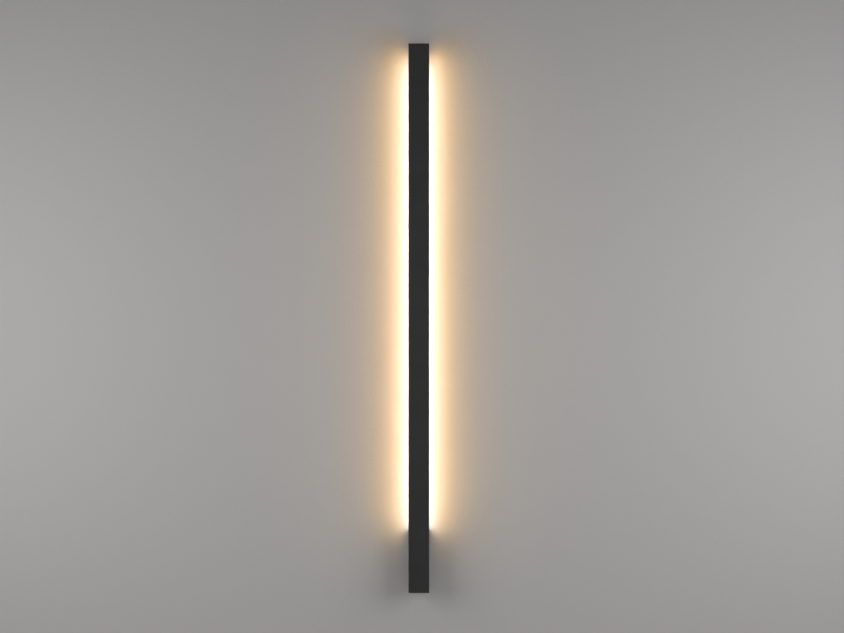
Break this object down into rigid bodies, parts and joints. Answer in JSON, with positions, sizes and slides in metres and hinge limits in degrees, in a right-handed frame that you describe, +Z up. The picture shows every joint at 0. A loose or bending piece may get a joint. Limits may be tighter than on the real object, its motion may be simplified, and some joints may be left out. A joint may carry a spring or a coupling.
{
  "type": "tube wall light",
  "caption": "Slim upright square-tube wall light that stands off the wall on a wiring housing and a small spacer, with an LED strip in its back face that washes the wall.",
  "frame": {"origin": "middle of the lower wall plate's back face, on the wall", "axes": "+X to the right as seen from the room, +Y into the wall, +Z up along the tube"},
  "size_m": [0.034, 0.054, 0.9],
  "materials": {
    "black_powder_coat": "satin",
    "black_steel": "satin",
    "zinc_plated_steel": "satin",
    "white_solder_mask": "satin",
    "thermal_tape": "matte",
    "white_led_plastic": "satin",
    "led_phosphor": "satin",
    "chip_black": "satin",
    "white_nylon": "satin",
    "opal_acrylic": "satin",
    "grey_foam": "matte",
    "copper": "satin",
    "spring_steel": "polished",
    "black_rubber": "matte",
    "black_nylon": "satin",
    "brown_insulation": "satin",
    "blue_insulation": "satin",
    "green_yellow_insulation": "satin",
    "red_insulation": "satin",
    "black_insulation": "satin",
    "tinned_copper": "satin",
    "white_driver_case": "satin",
    "green_circuit_board": "satin",
    "ferrite": "matte",
    "winding_tape": "satin",
    "capacitor_sleeve": "gloss",
    "grey_button": "satin",
    "blue_button": "satin",
    "green_button": "satin"
  },
  "bodies": {
    "wall_mount": {"wall_plate": "zinc_plated_steel", "cable_grommet": "black_rubber", "upper_wall_spigot": "black_nylon"},
    "lamp": {"body_tube": "black_powder_coat", "top_end_cap": "black_powder_coat", "bottom_end_cap": "black_powder_coat", "lower_housing": "black_powder_coat", "upper_spacer": "black_powder_coat", "top_cap_screws": "black_steel", "bottom_cap_screws": "black_steel", "grub_screws": "black_steel", "housing_screws": "zinc_plated_steel", "spacer_screw": "zinc_plated_steel", "terminal_block_screws": "zinc_plated_steel", "lower_slot_nut": "zinc_plated_steel", "upper_slot_nut": "zinc_plated_steel", "earth_washer": "zinc_plated_steel", "earth_screw": "zinc_plated_steel", "led_board": "white_solder_mask", "thermal_tape": "thermal_tape", "led_packages": "white_led_plastic", "led_phosphors": "led_phosphor", "board_resistors": "chip_black", "driver_small_parts": "chip_black", "board_connector": "white_nylon", "terminal_block": "white_nylon", "diffuser": "opal_acrylic", "diffuser_stops": "grey_foam", "driver_tape": "grey_foam", "terminal_busbars": "copper", "terminal_springs": "spring_steel", "wire_bushing": "black_rubber", "live_wire": "brown_insulation", "neutral_wire": "blue_insulation", "earth_wire": "green_yellow_insulation", "led_wire_positive": "red_insulation", "led_wire_negative": "black_insulation", "earth_lug": "tinned_copper", "driver_case_base": "white_driver_case", "driver_case_cover": "white_driver_case", "driver_circuit_board": "green_circuit_board", "driver_transformer_core": "ferrite", "driver_filter_choke": "ferrite", "driver_transformer_winding": "winding_tape", "driver_capacitors": "capacitor_sleeve"},
    "live_button": {"live_release_button": "grey_button"},
    "neutral_button": {"neutral_release_button": "blue_button"},
    "earth_button": {"earth_release_button": "green_button"}
  },
  "joints": [
    {"name": "lamp_pull_off", "type": "slide", "parent": "wall_mount", "child": "lamp", "axis": [0, -1, 0], "range_m": [0, 0.06]},
    {"name": "live_button_press", "type": "slide", "parent": "lamp", "child": "live_button", "axis": [0, -1, 0], "range_m": [0, 0.0012], "stiffness_N_per_m": 3000},
    {"name": "neutral_button_press", "type": "slide", "parent": "lamp", "child": "neutral_button", "axis": [0, -1, 0], "range_m": [0, 0.0012], "stiffness_N_per_m": 3000},
    {"name": "earth_button_press", "type": "slide", "parent": "lamp", "child": "earth_button", "axis": [0, -1, 0], "range_m": [0, 0.0012], "stiffness_N_per_m": 3000}
  ]
}
